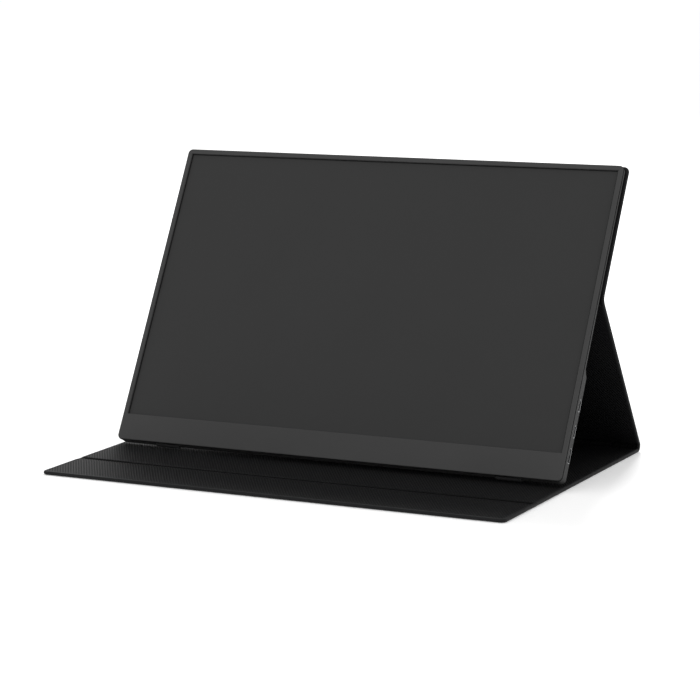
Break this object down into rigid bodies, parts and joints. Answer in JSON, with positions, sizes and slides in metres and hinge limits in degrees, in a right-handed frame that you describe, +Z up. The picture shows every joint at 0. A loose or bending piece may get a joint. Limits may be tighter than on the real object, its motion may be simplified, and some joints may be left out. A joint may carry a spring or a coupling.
{
  "type": "portable monitor with folding cover",
  "caption": "Slim flat monitor leaning back on a folding leather-look cover, with a floor panel, rear leg, side sockets and rubber feet.",
  "frame": {"origin": "on the table, under the middle of the whole object", "axes": "+X to the right across the screen, +Y to the back, +Z up"},
  "size_m": [0.3596, 0.2432, 0.2118],
  "materials": {
    "cover_leather": "black artificial leather, fine grain",
    "cover_lining": "black woven-look lining",
    "cover_greyboard": "pressed greyboard",
    "magnet": "nickel-plated magnet",
    "housing_plastic": "dark grey fine-textured plastic",
    "key_plastic": "dark grey plastic",
    "foam": "black foam tape",
    "screen": "matt anti-glare screen, switched off",
    "film": "white film",
    "acrylic": "clear acrylic",
    "circuit": "green circuit board",
    "sheet_steel": "thin sheet steel",
    "ribbon": "amber flexible circuit",
    "chip": "black moulded plastic",
    "socket_metal": "stamped steel",
    "screw": "dark zinc",
    "rubber": "soft grey rubber"
  },
  "bodies": {
    "base": {"base_skin": "cover_leather", "base_board": "cover_greyboard", "base_lining": "cover_lining", "flap_fold_strip": "cover_leather", "spine_strip": "cover_leather"},
    "flap": {"flap_skin": "cover_leather", "flap_board": "cover_greyboard", "flap_lining": "cover_lining", "closing_magnets": "magnet"},
    "leg": {"leg_skin": "cover_leather", "leg_board": "cover_greyboard", "leg_lining": "cover_lining"},
    "power_button": {"power_button": "key_plastic"},
    "menu_rocker": {"menu_rocker": "key_plastic"},
    "monitor": {"audio_jack": "chip", "back_fold_strip": "cover_leather", "board_chips": "chip", "board_screws": "screw", "board_shield": "socket_metal", "diffuser_sheet": "film", "display_cable": "ribbon", "front_bezel": "housing_plastic", "holding_magnets": "magnet", "lcd_cell": "screen", "led_strip": "circuit", "light_guide": "acrylic", "main_board": "circuit", "mini_hdmi_socket": "socket_metal", "panel_tray": "sheet_steel", "rear_shell": "housing_plastic", "reflector_sheet": "film", "rubber_feet": "rubber", "screen_gasket": "foam", "shell_screws": "screw", "side_board": "circuit", "side_switches": "chip", "speakers": "chip", "steel_plate": "sheet_steel", "timing_board": "circuit", "upper_board": "cover_greyboard", "upper_lining": "cover_lining", "upper_skin": "cover_leather", "usb_c_sockets": "socket_metal"}
  },
  "joints": [
    {"name": "spine_fold", "type": "hinge", "parent": "base", "child": "leg", "pos_m": [0, 0.11701, 0.0046], "axis": [-1, 0, 0], "range_deg": [-10, 26], "deforming": ["spine_strip"]},
    {"name": "back_fold", "type": "hinge", "parent": "leg", "child": "monitor", "pos_m": [0, 0.04945, 0.12207], "axis": [1, 0, 0], "range_deg": [-20, 52], "deforming": ["back_fold_strip"]},
    {"name": "flap_fold", "type": "hinge", "parent": "base", "child": "flap", "pos_m": [0, -0.07261, 0.00055], "axis": [-1, 0, 0], "range_deg": [0, 90], "deforming": ["flap_fold_strip"]},
    {"name": "power_button", "type": "slide", "parent": "monitor", "child": "power_button", "axis": [1, 0, 0], "range_m": [0, 0.0004], "stiffness_N_per_m": 2500},
    {"name": "menu_rocker", "type": "hinge", "parent": "monitor", "child": "menu_rocker", "pos_m": [-0.17595, 0.00152, 0.03945], "axis": [0, -0.8725, 0.4886], "range_deg": [-3, 3], "stiffness_Nm_per_rad": 0.5}
  ],
  "couplings": [
    {"joint": "back_fold", "follows": "spine_fold", "ratio": 2}
  ]
}
